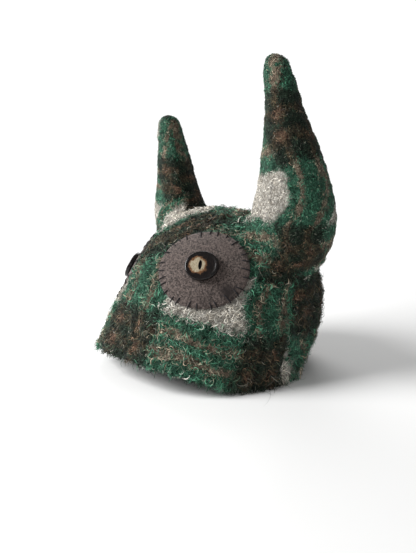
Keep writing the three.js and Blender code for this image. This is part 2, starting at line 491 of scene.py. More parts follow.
def prism(ends):
    # a closed shape between two outlines
    shape = bmesh.new()
    one, two = [[shape.verts.new(point) for point in outline] for outline in ends]
    shape.faces.new(one)
    shape.faces.new(two[::-1])
    for i in range(len(one)):
        j = (i + 1) % len(one)
        shape.faces.new((one[j], one[i], two[i], two[j]))
    bmesh.ops.recalc_face_normals(shape, faces=shape.faces)
    return newObject("cutter", meshFrom(shape, "cutter"))


def frontCutter():
    # its back face follows the side seams up and over the crown; the rest lies well outside the hat
    reach, deep, low, high = 0.2, -0.3, -0.1, 0.35
    heights = [low, *seamHeights, high]
    places = [seamPlaces[0], *seamPlaces, seamPlaces[-1]]
    outline = [(deep, low), *zip(places, heights), (deep, high)]
    return prism([[(x, y, z) for y, z in outline] for x in (-reach, reach)])


hat = makeHatShape()
calmTree = treeOf(hat.data)
print("hat shape", len(hat.data.polygons), "faces")
roughen(hat)
shell = voxelShape("shell", capNodes, cloth["shellGrowth"], cloth["voxel"])
cutters = {name: hornCutter(side, shell) for name, side in hornSides.items()}
pieces = {}
rest = copyOf(hat, "rest")
for name, cutter in cutters.items():
    pieces[name] = cut(copyOf(hat, name + "_cloth"), cutter, "INTERSECT")
    rest = cut(rest, cutter, "DIFFERENCE")
seamCutter = frontCutter()
pieces["front_panel"] = cut(copyOf(rest, "front_cloth"), seamCutter, "INTERSECT")
pieces["back_panel"] = cut(copyOf(rest, "back_cloth"), seamCutter, "DIFFERENCE")
for spare in (hat, rest, shell, seamCutter, *cutters.values()):
    bpy.data.objects.remove(spare)
print("cloth pieces", {n: len(p.data.polygons) for n, p in pieces.items()})


# where the tartan lies on the hat: across runs sideways over the cloth and up runs from the rim, both in mm
tartan = {
    "acrossPeriod": 153.0,
    "upPeriod": 108.0,
    "upStart": 22.0,  # middle of the band along the rim
    "bandAcross": 33.0,  # half widths
    "bandUp": 28.0,
    "stripeAcross": 15.0,  # from a band's middle to its two stripes
    "stripeUp": 9.5,
    "stripeHalf": 3.9,
    "stripeEdge": 1.5,  # softness of the stripes' felted edges, and of the bands'
    "edge": 2.0,
    "ahead": 10.5,  # periods added, so that the sums stay above zero
    "wander": 9.0,  # how far yarns stray, fibre by fibre
    "drift": 2.6,  # and slowly, with the shrinking of the felt
    "driftSize": 17 * mm,
    "gap": (0.36, 0.50),  # where the stripes break up
    "gapSize": 8 * mm,
    "backAcross": -43.0,  # the back cloth is cut from another stretch of the same tartan
    "backUp": 62.0,
    "backHorn": 0.55,  # how fast across runs round the backs of the horns
}
# where the tartan's lines are seen in the photograph, in its pixels, by the cloth's place there in mm
acrossSights = {
    -168: [(172, 200), (167, 140)],
    -138: [(182, 200), (181, 152)],
    -122: [(192, 200)],
    -33: [(177, 227), (207, 212)],
    -15: [(155, 245), (136, 285), (121, 318), (116, 335)],
    15: [(157, 276), (147, 300), (139, 328), (137, 343), (184, 237), (200, 224)],
    33: [(165, 305)],
    120: [(248, 290), (247, 340), (291, 193), (270, 150)],
    138: [(253, 358), (258, 316), (280, 267), (287, 246), (297, 216), (301, 192), (292, 155), (282, 135),
          (276, 111), (274, 75)],
    168: [(273, 362), (283, 334), (288, 284), (309, 250), (318, 158), (327, 196)],
}
upSights = {
    15: [(116, 335), (137, 343), (175, 352), (212, 367), (254, 374)],
    30: [(121, 318), (139, 328), (170, 335), (215, 351), (258, 358)],
    120: [(184, 237), (252, 257), (280, 267)],
    140: [(200, 224), (243, 235), (287, 246)],
    160: [(179, 222), (161, 231), (262, 218), (207, 212)],
    210: [(271, 172)],
    228: [(282, 135), (268, 156), (177, 189)],
    248: [(276, 111), (175, 171)],
}
sightReach = 38.0
sightSlack = 0.03
# how the cloth lies before the sights pull it, in mm
lay = {
    "crown": (105, 140),  # heights over which across turns from round the cap to straight over it
    "shift": 17,
    "skew": 25,  # how far the crown's cloth is turned, within these depths and heights
    "skewDeep": (-47, 13),
    "skewHigh": (90, 130),
    "faceLift": (22, 1.5),  # how far the rim's band rises over the face, and how sharply
    "slope": (0.33, 97),  # cloth that the walls' slope takes, and how far out it starts
    "top": (139.5, 1.1, -17),  # up on the crown: its start, its pace backwards and the place of that start
    "topHigh": (118, 143),
    "topWide": (-60, -30),
    "hornReach": (2, 26),  # away from the cap, where the horn's own lay takes over
    "backHornReach": (2, 22),
    "driftHigh": (165, 235),
}
hornLay = {
    "left_horn": {"middle": 117, "drift": 15, "start": 12, "pace": 1.0},
    "right_horn": {"middle": -190, "drift": 0, "start": 4, "pace": 1.33},
}


def slopeLoss(around):
    pace, start = lay["slope"]
    return pace * np.clip(start - around, 0, None)


def plainPlace(points, away):
    # across and up before the sights pull them, for points in mm; away is their distance from the cap
    x, y, z = points.T
    angle = np.arctan2(x, -y)
    around = np.hypot(x, y)
    crown = smooth(z, *lay["crown"])
    across = (1 - crown) * around * angle + crown * x
    across += lay["shift"] - lay["skew"] * smooth(y, *lay["skewDeep"]) * smooth(z, *lay["skewHigh"])
    lift, power = lay["faceLift"]
    up = z - lift * np.clip(np.cos(angle), 0, 1) ** power + slopeLoss(around)
    start, pace, front = lay["top"]
    up = up + ((start + pace * (y - front) - up) * smooth(z, *lay["topHigh"])
               * smooth(-np.abs(x), *lay["topWide"]))
    for name, own in hornLay.items():
        radius, turn, _ = hornFrame(name, points * mm)
        onHorn = smooth(away, *lay["hornReach"]) * (x * hornSides[name] > 0)
        hornAcross = own["middle"] + own["drift"] * smooth(z, *lay["driftHigh"]) + radius / mm * turn
        across = across + (hornAcross - across) * onHorn
        up = up + (own["start"] + own["pace"] * z - up) * onHorn
    return np.stack([across, up], 1)


def capDistance(points):
    return distances(capTree, points * mm) / mm


def seen(pixel):
    # the place on the hat, in mm, that a pixel of the photograph shows
    width, height = view["picture"]
    depth = view["lens"] / bpy.context.scene.camera.data.sensor_width * height
    ray = Vector((pixel[0] - width / 2, height / 2 - pixel[1], -depth))
    turn = bpy.context.scene.camera.rotation_euler.to_matrix()
    place = calmTree.ray_cast(Vector(view["place"]), turn @ ray)[0]
    if place is None:
        print("nothing of the hat at pixel", pixel)
    return place / mm


def humps(points, places):
    gap = np.linalg.norm(points[:, None] - places[None], axis=2)
    return 1 / (1 + (gap / sightReach) ** 2)


def pullOf(sights, column):
    # how much each sight moves the plain place, as weights of smooth humps round the sights
    points = np.array([seen(pixel) for pixels in sights.values() for pixel in pixels])
    target = np.array([value for value, pixels in sights.items() for _ in pixels], dtype=float)
    left = target - plainPlace(points, capDistance(points))[:, column]
    return points, np.linalg.solve(humps(points, points) + sightSlack * np.eye(len(points)), left)


pulls = [pullOf(acrossSights, 0), pullOf(upSights, 1)]


def frontPlace(points, away):
    place = plainPlace(points, away)
    for column, (places, weights) in enumerate(pulls):
        place[:, column] += humps(points, places) @ weights
    return place


def backPlace(points, away):
    x, y, z = (points * np.array([-1, -1, 1])).T
    around = np.hypot(x, y)
    across = around * np.arctan2(x, -y) + tartan["backAcross"]
    up = z + slopeLoss(around) + tartan["backUp"]
    for name, side in hornSides.items():
        radius, turn, _ = hornFrame(name, points * mm)
        onHorn = smooth(away, *lay["backHornReach"]) * (points[:, 0] * side > 0)
        behind = (turn + 2 * math.pi) % (2 * math.pi) - math.pi
        across = across + (tartan["backHorn"] * radius / mm * behind - across) * onHorn
    return np.stack([across, up], 1)


def facesFront(coords):
    # true where the cloth belongs to the front piece, also up the two horns
    front = seamGap(coords) < 0
    away = distances(capTree, coords)
    turn = math.radians(cloth["seamTurn"])
    for name, side in hornSides.items():
        _, _, offset = hornFrame(name, coords)
        toFront = offset[:, 0] * math.sin(turn) * side - offset[:, 1] * math.cos(turn)
        onHorn = (away > 4 * mm) & (coords[:, 0] * side > 0)
        front = np.where(onHorn, toFront > 0, front)
    return front


# where fibres grow on the cloth and how long they are there
pilePlace = {
    "heart": np.array([0, 5, 45]) * mm,  # cloth that faces this place is inside
    "clear": (0.8 * mm, 3 * mm),  # the pile thins out towards a felt patch
    "inside": {"pile": 0.12, "length": 0.5},
    "hornReach": (3 * mm, 25 * mm),
    "hornLoss": 0.45,  # share of their length that fibres lose up a horn
    "rim": (-14 * mm, -3 * mm),
}


def markPlaces(piece):
    # writes the cloth's own place as a UV map and the pile's strength for each point
    mesh = piece.data
    coords, normals = coordsOf(mesh), normalsOf(mesh)
    away = distances(capTree, coords)
    points = coords / mm
    front, back = frontPlace(points, away / mm), backPlace(points, away / mm)
    isFront = facesFront(numbersOf(mesh.polygons, "center", 3))
    corners = cornersOf(mesh)
    cornerFront = np.repeat(isFront, numbersOf(mesh.polygons, "loop_total", 1, np.int64))
    place = np.where(cornerFront[:, None], front[corners], back[corners]) * mm
    mesh.uv_layers.new(name="clothPlace").data.foreach_set("uv", place.ravel())
    outside = ((coords - pilePlace["heart"]) * normals).sum(1) > 0
    outside |= away > pilePlace["hornReach"][0]
    inHorn = smooth(away, *pilePlace["hornReach"])
    clear = smooth(distances(patchTree, coords), *pilePlace["clear"])
    setPointValues(mesh, {
        "pile": np.where(outside, clear, pilePlace["inside"]["pile"]),
        "length": np.where(outside, 1 - pilePlace["hornLoss"] * inHorn, pilePlace["inside"]["length"]),
        "rim": smooth(-coords[:, 2], *pilePlace["rim"]),
    })


def shadeSmooth(mesh, angle=50):
    mesh.polygons.foreach_set("use_smooth", np.ones(len(mesh.polygons), dtype=bool))
    mesh.set_sharp_from_angle(angle=math.radians(angle))


# colours of the tartan, by what the lengthwise and the crosswise yarns are; each pair runs from a dark end
# of painted shade to a bright end of painted light
yarn = {
    "cream": ((0.55, 0.50, 0.42), (0.95, 0.92, 0.85)),
    "green": ((0.008, 0.034, 0.022), (0.125, 0.385, 0.235)),
    "tan": ((0.095, 0.062, 0.040), (0.640, 0.510, 0.375)),
    "greenGreen": ((0.002, 0.006, 0.004), (0.050, 0.090, 0.055)),
    "greenTan": ((0.006, 0.005, 0.003), (0.200, 0.155, 0.090)),
    "tanTan": ((0.035, 0.018, 0.011), (0.470, 0.280, 0.180)),
}


def tartanColour(board, place, wobble, paintedLightAndTone):
    # across and up in mm; each direction is cream, green or tan, and crossings take their own colours
    slow = board.sway(board.speckle(place, tartan["driftSize"], 1.0, 0.5, "Color"), 4 * tartan["drift"])
    moves = board.vector("ADD", slow, board.sway(wobble, tartan["wander"]))
    across, up, _ = board.parts(board.vector("ADD", board.scaled(place, 1 / mm), moves))
    across = across + tartan["acrossPeriod"] * tartan["ahead"]
    up = up + (tartan["upPeriod"] * tartan["ahead"] - tartan["upStart"])
    whole = board.speckle(place, tartan["gapSize"], 2.0, 0.6).fade(*tartan["gap"])
    # each yarn's colour is mixed between its dark end of painted shade and its bright end of painted light
    shades = {name: board.blend(paintedLightAndTone, *pair) for name, pair in yarn.items()}
    masks = []
    wide, soft = tartan["stripeHalf"], tartan["stripeEdge"]
    for value, period, half, stripe in (
        (across, tartan["acrossPeriod"], tartan["bandAcross"], tartan["stripeAcross"]),
        (up, tartan["upPeriod"], tartan["bandUp"], tartan["stripeUp"]),
    ):
        gap = ((value * (1 / period)).math("FRACT") - 0.5).math("ABSOLUTE") * period
        band = gap.fade(half + tartan["edge"], half - tartan["edge"])
        line = (gap - stripe).math("ABSOLUTE").fade(wide + soft, wide - soft)
        masks.append((band, line * whole))
    (bandA, lineA), (bandB, lineB) = masks
    rows = []
    for plain, crossed, striped in (("cream", "green", "tan"), ("green", "greenGreen", "greenTan"),
                                    ("tan", "greenTan", "tanTan")):
        rows.append(board.blend(lineB, board.blend(bandB, shades[plain], shades[crossed]), shades[striped]))
    withCream, withGreen, withTan = rows
    return board.blend(lineA, board.blend(bandA, withCream, withGreen), withTan)


def clothMaterial():
    material, board, surface = newMaterial("tartan_cloth_ground", {
        "Roughness": 0.95, "Specular IOR Level": 0.1, "Sheen Weight": 0.15, "Sheen Roughness": 0.5})
    here = board.here()
    place = board.node("ShaderNodeUVMap", uv_map="clothPlace")
    wobble = board.speckle(here, 3.5 * mm, 3.0, 0.7, "Color")
    hairs = board.speckle(board.vector("MULTIPLY", here, (1.0, 1.0, 0.45)), 1.1 * mm, 4.0, 0.7)
    knots = board.speckle(here, 4.0 * mm, 2.0, 0.6)
    # painted light and shade: the hairs and knots noise that raises the bump also paints the tops bright and
    # the hollows dark
    paintedLightAndTone = (hairs * 0.9 + knots * 0.7 - 0.45).fade(0.1, 0.75)
    colour = tartanColour(board, place, wobble, paintedLightAndTone)
    # painted shade: the ground under the pile is darkened to about half on average, most where the hairs
    # noise is low
    feed(board, surface, "Base Color", board.scaled(colour, hairs * 1.4 - 0.25))
    feedBump(board, surface, 1.0, 1.4 * mm, hairs * 0.5 + knots)
    return material


def pileMaterial():
    material, board, surface = newMaterial("tartan_pile", {
        "Roughness": 0.7, "Specular IOR Level": 0.2, "Sheen Weight": 0.1})
    place = board.node("ShaderNodeAttribute", out="Vector", attribute_name="clothPlace")
    tint = board.node("ShaderNodeAttribute", out="Vector", attribute_name="tint")
    one, two, three = board.parts(tint)
    # painted shade: where this clump noise is low the fibres are painted darker, as shade in the gaps
    # between tufts; the share from each fibre's tint is random tone
    paintedClumpShade = board.speckle(place, 5.0 * mm, 2.0, 0.6)
    paintedLightAndTone = three * 0.6 + paintedClumpShade.fade(0.36, 0.64) * 0.6 - 0.15
    colour = tartanColour(board, place, tint, paintedLightAndTone)
    colour = board.blend(two.fade(0.955, 0.975) * 0.6, colour, (0.46, 0.44, 0.37))
    feed(board, surface, "Base Color", board.scaled(colour, 0.32 + one * one * 1.5))
    return material


# the pile of mohair over each cloth, as fibres for each square mm, mm and shares of a fibre's length
capPile = {"Length": 8.2, "Rise": 0.60, "Curl": 4.6, "Stray": 0.8, "Rows": 5}
hornPile = {"Length": 6.2, "Width": 0.50, "Rise": 0.50, "Curl": 3.0, "Stray": 0.8, "Rows": 3}
pile = {
    "front_panel": dict(capPile, Density=0.55, Width=0.66, Seed=11),
    "back_panel": dict(capPile, Density=0.42, Width=0.70, Seed=12),
    "left_horn": dict(hornPile, Density=1.7, Seed=13),
    "right_horn": dict(hornPile, Density=1.8, Seed=14),
}
rimHairs = {"Density": 0.035, "Length": 19.0, "Width": 0.32, "Rise": 0.16, "Curl": 3.4, "Stray": 1.0,
            "Rows": 8, "Seed": 31}
# what all fibres share
fibre = {
    "lock": 7 * mm,  # neighbouring fibres lie the same way over about this far
    "lockStart": (0.3, 0.7, 0.1),
    "flow": 5.0,  # how strongly they do
    "sag": 0.25,
    "rimSag": 1.6,
    "least": (0.35, 0.1, -1.0),  # shares of length, rise and curl that a fibre has
    "most": (1.0, 1.0, 1.0),
    "roll": 0.9,  # radians that a ribbon is turned either way
    "rimGrowth": 1.5,  # how much longer and straighter fibres are at the rim
    "rimCalm": 0.75,
    "root": 0.35 * mm,  # how deep they start in the cloth
    "taper": (1.1, 0.85),  # width at the root, and how much of it the tip has lost
    "floor": 0.15 * mm,
    "cell": 0.8,  # share of a fibre's cell in the bake map that it fills
}


def newTree(name, **sockets):
    # a tree with named inputs, which are given by their kind
    tree = bpy.data.node_groups.new(name, "GeometryNodeTree")
    tree.interface.new_socket("Geometry", in_out="INPUT", socket_type="NodeSocketGeometry")
    for kind, names in sockets.items():
        for socket in names:
            tree.interface.new_socket(socket, in_out="INPUT", socket_type="NodeSocket" + kind)
    tree.interface.new_socket("Geometry", in_out="OUTPUT", socket_type="NodeSocketGeometry")
    board = Board(tree)
    given = tree.nodes.new("NodeGroupInput")
    inputs = {s.name: Wire(board, s) for s in given.outputs if s.name}
    return tree, board, inputs


def closeTree(tree, board, geometry, material):
    placed = board.geo("RealizeInstances", {"Geometry": geometry})
    done = board.geo("SetMaterial", {"Geometry": placed, "Material": material})
    tree.links.new(done.socket, tree.nodes.new("NodeGroupOutput").inputs[0])


def grow(name, tree, host, values):
    # runs a tree on a copy of the host's mesh and returns its result as a plain mesh
    piece = newObject(name, host.data.copy())
    modifier = piece.modifiers.new("grow", "NODES")
    modifier.node_group = tree
    for socket in tree.interface.items_tree:
        if socket.in_out == "INPUT" and socket.name in values:
            modifier[socket.identifier] = values[socket.name]
    return applied(piece)


def keep(board, geometry, name, kind, value, domain="POINT"):
    return board.geo("StoreNamedAttribute", {"Geometry": geometry, "Name": name, "Value": value},
                     data_type=kind, domain=domain)


def recall(board, name, kind="FLOAT_VECTOR"):
    return board.geo("InputNamedAttribute", {"Name": name}, "Attribute", data_type=kind)


def forget(board, geometry, *names):
    for name in names:
        geometry = board.geo("RemoveAttribute", {"Geometry": geometry, "Name": name})
    return geometry


def fibreTree(name):
    # curly ribbons on every face, in locks that lie the same way
    floats = ["Density", "Length", "Width", "Rise", "Curl", "Stray"]
    tree, board, given = newTree(name, Float=floats, Int=["Rows", "Seed"], Material=["Material"])
    strength = recall(board, "pile", "FLOAT")
    scatter = board.geo("DistributePointsOnFaces", {
        "Mesh": given["Geometry"], "Density": given["Density"] * strength, "Seed": given["Seed"]}, "Points")
    normal = Wire(board, next(s for s in scatter.socket.node.outputs if s.name == "Normal"))

    def dice(low, high, extra, kind="FLOAT"):
        limits = {"Min": low, "Max": high, "Seed": given["Seed"] + extra}
        return board.node("FunctionNodeRandomValue", limits, data_type=kind)

    here = board.geo("InputPosition")
    flow = board.speckle(board.vector("ADD", here, fibre["lockStart"]), fibre["lock"], 1.0, 0.5, "Color")
    flow = board.sway(flow, fibre["flow"])
    stray = board.scaled(dice((-1.0,) * 3, (1.0,) * 3, 1, "FLOAT_VECTOR"), given["Stray"])
    rim = recall(board, "rim", "FLOAT")
    droop = board.join(0.0, 0.0, -fibre["sag"] - rim * fibre["rimSag"])
    aim = board.vector("ADD", board.vector("ADD", flow, stray), droop)
    lean = board.vector("CROSS_PRODUCT", board.vector("CROSS_PRODUCT", normal, aim), normal)
    points = scatter
    for mark, value in {
        "root": here, "outward": normal, "lean": board.vector("NORMALIZE", lean),
        "tint": dice((0.0,) * 3, (1.0,) * 3, 2, "FLOAT_VECTOR"),
        "form": dice(fibre["least"], fibre["most"], 3, "FLOAT_VECTOR"),
    }.items():
        points = keep(board, points, mark, "FLOAT_VECTOR", value)
    points = keep(board, points, "roll", "FLOAT", dice(-fibre["roll"], fibre["roll"], 4))
    points = keep(board, points, "number", "FLOAT", board.geo("InputIndex") * 1.0)
    size = board.geo("AttributeDomainSize", {"Geometry": points}, component="POINTCLOUD")
    cells = (size * 1.0).math("SQRT").math("CEIL")
    ribbon = board.geo("MeshGrid", {
        "Size X": 1.0, "Size Y": 1.0, "Vertices X": 2, "Vertices Y": given["Rows"]}, "Mesh")
    ribbon = keep(board, ribbon, "ribbon", "FLOAT_VECTOR", here)
    placed = board.geo("InstanceOnPoints", {"Points": points, "Instance": ribbon})
    solid = board.geo("RealizeInstances", {"Geometry": placed})
    side, along, _ = board.parts(recall(board, "ribbon"))
    along = along + 0.5
    share, stand, bend = board.parts(recall(board, "form"))
    outward = recall(board, "outward")
    forward = recall(board, "lean")
    across = board.vector("CROSS_PRODUCT", outward, forward)
    length = given["Length"] * share * recall(board, "length", "FLOAT") * (1.0 + rim * fibre["rimGrowth"])
    curl = given["Curl"] * bend * (1.0 - rim * fibre["rimCalm"]) + 0.001  # never zero
    heading = curl * along
    run = heading.math("SINE") / curl
    swing = (1.0 - heading.math("COSINE")) / curl
    lift = along * (2.0 - along * 1.5) * given["Rise"] * (stand + 0.15)
    width = side * given["Width"] * (fibre["taper"][0] - along * fibre["taper"][1])
    roll = recall(board, "roll", "FLOAT")
    flat = width * roll.math("COSINE")
    place = recall(board, "root")
    for way, far in (
        (outward, length * lift - fibre["root"] + width * roll.math("SINE")),
        (forward, length * run - flat * heading.math("SINE")),
        (across, length * swing + flat * heading.math("COSINE")),
    ):
        place = board.vector("ADD", place, board.scaled(way, far))
    x, y, z = board.parts(place)
    place = board.join(x, y, z.math("MAXIMUM", fibre["floor"]))
    solid = board.geo("SetPosition", {"Geometry": solid, "Position": place})
    # each fibre has its own small cell of the OFBake map
    number = recall(board, "number", "FLOAT")
    cellU = number.math("MODULO", cells) + (side + 0.6) * fibre["cell"]
    cellV = (number / cells).math("FLOOR") + along * fibre["cell"] + 0.1
    solid = keep(board, solid, "OFBake", "FLOAT2", board.join(cellU / cells, cellV / cells, 0.0), "CORNER")
    solid = forget(board, solid, "root", "outward", "lean", "form", "roll", "number", "ribbon", "pile",
                   "length", "rim")
    closeTree(tree, board, solid, given["Material"])
    return tree


def growFibres(name, tree, host, settings, material):
    values = dict(settings, Density=settings["Density"] / mm ** 2, Length=settings["Length"] * mm,
                  Width=settings["Width"] * mm, Material=material)
    return grow(name, tree, host, values)


def keepRimPile(mesh):
    # leaves fibres only along the rim
    rim = numbersOf(mesh.attributes["rim"].data, "value", 1, np.float32)
    mesh.attributes["pile"].data.foreach_set("value", rim * rim)


groundMaterial = clothMaterial()
fibreMaterial = pileMaterial()
mohairTree = fibreTree("mohair_pile")
padFill = {"left_horn": 0.8, "right_horn": 0.8}
for node, piece in pieces.items():
    markPlaces(piece)
    shadeSmooth(piece.data)
    piece.data.materials.clear()
    piece.data.materials.append(groundMaterial)
    fibres = growFibres(node + "_pile", mohairTree, piece, pile[node], fibreMaterial)
    parts = [piece, fibres]
    if node in capNodes:
        rimHost = copyOf(piece, "rim_host")
        keepRimPile(rimHost.data)
        parts.append(growFibres(node + "_rim_hairs", mohairTree, rimHost, rimHairs, fibreMaterial))
        bpy.data.objects.remove(rimHost)
    for part in parts:
        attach(part, "root")
    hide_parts(node)
    node in padFill
    print(node, sum(len(f.vertices) - 2 for f in fibres.data.polygons), "fibre triangles")


# the felt patches round the eyes
patch = {
    "thickness": 2.2 * mm,
    "sink": 0.8 * mm,  # how deep the underside lies in the cloth
    "edge": 2.2 * mm,  # the round along the edge
    "rings": 26,
    "ringPower": 0.85,  # below 1 the rings lie closer towards the edge
    "sides": 160,
    "uneven": 0.012,
    "dent": 0.45 * mm,
    "dentSize": 17 * mm,
    "pull": (0.020, 0.045),  # how far a stitch pulls the edge in, as a share, and the turn it does so over
    "relaxRounds": 8,
    "heart": np.array([0, 0, 60]) * mm,  # the eyes look away from here
    "rayStart": 30 * mm,
}
# the stitches round a patch
stitch = {
    "count": 28,
    "length": (5.0 * mm, 10.0 * mm),
    "slant": 0.28,  # radians either way
    "unevenness": 0.3,  # of the space between two stitches
    "outside": 0.9 * mm,  # how far they reach past the felt
    "above": 0.1 * mm,
    "bow": 1.3 * mm,
    "radius": 0.55 * mm,
    "seed": 5,
}


class Eye:
    # where an eye sits: its middle, the way it looks, and the level and upright directions over it
    def __init__(self, side):
        self.side = side
        button, felt = [coordsOf(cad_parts[side + end].data) for end in ("_eye_button", "_eye_patch")]
        self.middle = button.mean(0)
        button, felt = button - self.middle, felt - self.middle
        looks = np.linalg.eigh(np.cov(button.T))[1][:, 0]
        self.looks = looks * np.sign(looks @ (self.middle - patch["heart"]))
        self.level = np.cross([0, 0, 1], self.looks)
        self.level /= np.linalg.norm(self.level)
        self.upright = np.cross(self.looks, self.level)
        self.half, self.buttonHalf = [
            [np.abs(points @ way).max() for way in (self.level, self.upright)] for points in (felt, button)]
        self.depth = np.ptp(button @ self.looks)
        self.back = (button @ self.looks).min()

    def hit(self, tree, right, up):
        # the place and normal of a tree's surface behind a place of the patch's plane
        start = self.middle + self.level * right + self.upright * up
        found = tree.ray_cast(Vector(start + self.looks * patch["rayStart"]), Vector(-self.looks))
        return (found if found[0] else tree.find_nearest(Vector(start)))[:2]


def discFaces(rings, sides, shift=0):
    # a middle point and rings round it; the middle has number shift
    ringStart = [shift + 1 + i * sides for i in range(rings)]
    faces = [(shift, ringStart[0] + k, ringStart[0] + (k + 1) % sides) for k in range(sides)]
    for low, high in zip(ringStart, ringStart[1:]):
        faces += [(low + k, high + k, high + (k + 1) % sides, low + (k + 1) % sides) for k in range(sides)]
    return faces


def meshOf(name, points, faces=()):
    mesh = bpy.data.meshes.new(name)
    mesh.from_pydata([tuple(point) for point in points], [], faces)
    return mesh


def feltPlaces(eye, turns):
    # the felt's points as shares of its half sizes, with the edge pulled in at every stitch
    depth, width = patch["pull"]
    places = [(0.0, 0.0)]
    for ring in range(1, patch["rings"] + 1):
        share = (ring / patch["rings"]) ** patch["ringPower"]
        for k in range(patch["sides"]):
            angle = 2 * math.pi * k / patch["sides"]
            near = min(abs((angle - turn + math.pi) % (2 * math.pi) - math.pi) for turn in turns)
            circle = Vector((2 * math.cos(angle), 2 * math.sin(angle), eye.half[0] * 99))
            reach = 1 + patch["uneven"] * noise.noise(circle) - depth * math.exp(-(near / width) ** 2)
            places.append((share * reach * math.cos(angle), share * reach * math.sin(angle)))
    return np.array(places)


def feltMesh(eye, turns):
    places = feltPlaces(eye, turns)
    sides = patch["sides"]
    faces = discFaces(patch["rings"], sides)
    base = np.array([eye.hit(calmTree, *(eye.half * place))[0] for place in places])
    sheet = meshOf("sheet", base, faces)
    edges = edgesOf(sheet)
    for _ in range(patch["relaxRounds"]):
        base = relax(base, edges, 0.5)
    setCoords(sheet, base)
    normals = normalsOf(sheet)
    bpy.data.meshes.remove(sheet)
    inset = np.clip((1 - np.hypot(*places.T)) * min(eye.half) / patch["edge"], 0, 1)
    height = patch["thickness"] * np.sqrt(1 - (1 - inset) ** 2)
    height = height + patch["dent"] * noiseField(base, patch["dentSize"], 4.4) * inset
    count = len(base)
    last = count - sides
    faces += [face[::-1] for face in discFaces(patch["rings"], sides, count)]
    for k in range(sides):
        j = (k + 1) % sides
        faces.append((last + j, last + k, count + last + k, count + last + j))
    layers = [base + normals * height[:, None], base - normals * patch["sink"]]
    mesh = meshOf("felt", np.vstack(layers), faces)
    fuzzy = np.concatenate([smooth(inset, -0.1, 0.1), np.zeros(count)])
    setPointValues(mesh, {"pile": fuzzy, "length": np.ones(2 * count), "rim": np.zeros(2 * count)})
    return mesh


def feltMaterial(stains):
    material, board, surface = newMaterial("wool_felt", {
        "Roughness": 0.97, "Specular IOR Level": 0.12, "Sheen Weight": 0.2, "Sheen Roughness": 0.6})
    here = board.here()
    fine = board.speckle(here, 1.7 * mm, 4.0, 0.75)
    hairs = board.speckle(board.vector("MULTIPLY", here, (1.0, 1.0, 0.4)), 0.7 * mm, 2.0, 0.6)
    cloud = board.speckle(here, 14 * mm, 2.0, 0.5)
    colour = board.blend(fine.fade(0.40, 0.60), (0.022, 0.016, 0.014), (0.138, 0.106, 0.094))
    colour = board.blend(hairs.fade(0.60, 0.74) * 0.5, colour, (0.40, 0.33, 0.31))
    colour = board.blend(cloud.fade(0.45, 0.7) * 0.35, colour, (0.10, 0.072, 0.064))
    ragged = board.vector("ADD", here, board.sway(board.speckle(here, 7 * mm, 2.0, 0.6, "Color"), 9 * mm))
    for place, reach, amount in stains:
        gap = board.vector("DISTANCE", ragged, tuple(place), out="Value")
        colour = board.blend(gap.fade(reach, reach * 0.15) * amount, colour, (0.016, 0.011, 0.010))
    feed(board, surface, "Base Color", colour)
    feedBump(board, surface, 0.7, 0.5 * mm, fine + hairs * 0.5)
    return material


def fuzzMaterial():
    material, board, surface = newMaterial("felt_fuzz", {"Roughness": 0.9, "Specular IOR Level": 0.15})
    one, two, _ = board.parts(board.node("ShaderNodeAttribute", out="Vector", attribute_name="tint"))
    colour = board.blend(one, (0.024, 0.018, 0.016), (0.20, 0.160, 0.143))
    feed(board, surface, "Base Color", board.blend(two.fade(0.88, 0.98), colour, (0.38, 0.32, 0.30)))
    return material


def threadMaterial():
    material, board, surface = newMaterial("black_thread", {"Roughness": 0.75, "Specular IOR Level": 0.3})
    ply = board.speckle(board.vector("MULTIPLY", board.here(), (1.0, 1.0, 2.5)), 0.5 * mm, 2.0, 0.6)
    colour = board.blend(ply.fade(0.4, 0.7), (0.004, 0.004, 0.005), (0.03, 0.028, 0.032))
    feed(board, surface, "Base Color", colour)
    feedBump(board, surface, 0.5, 0.2 * mm, ply)
    return material


def stitchTree():
    # one bowed thread on every point, from its mark along inward, ends sunk in the cloth
    tree, board, given = newTree("patch_stitches", Float=["Bow", "Thread"], Material=["Material"])
    bow = given["Bow"]
    ends = {end: board.join(place, 0.0, bow * -0.6) for end, place in (("Start", -0.5), ("End", 0.5))}
    middle = board.join(0.0, 0.0, bow * 1.3)
    path = board.geo("CurveQuadraticBezier", {"Resolution": 8, "Middle": middle, **ends})
    turn = board.node("FunctionNodeAxesToRotation", {
        "Primary Axis": recall(board, "outward"), "Secondary Axis": recall(board, "inward")},
        primary_axis="Z", secondary_axis="X")
    placed = board.geo("InstanceOnPoints", {
        "Points": given["Geometry"], "Instance": path, "Rotation": turn,
        "Scale": board.join(recall(board, "long", "FLOAT"), 1.0, 1.0)})
    lines = board.geo("RealizeInstances", {"Geometry": placed})
    ring = board.geo("CurvePrimitiveCircle", {
        "Resolution": 6, "Radius": given["Thread"]}, mode="RADIUS")
    threads = board.geo("CurveToMesh", {"Curve": lines, "Profile Curve": ring, "Fill Caps": True})
    closeTree(tree, board, forget(board, threads, "outward", "inward", "long"), given["Material"])
    return tree


def stitchTurns(dice):
    step = 2 * math.pi / stitch["count"]
    return [step * (k + stitch["unevenness"] * dice.uniform(-1, 1)) for k in range(stitch["count"])]


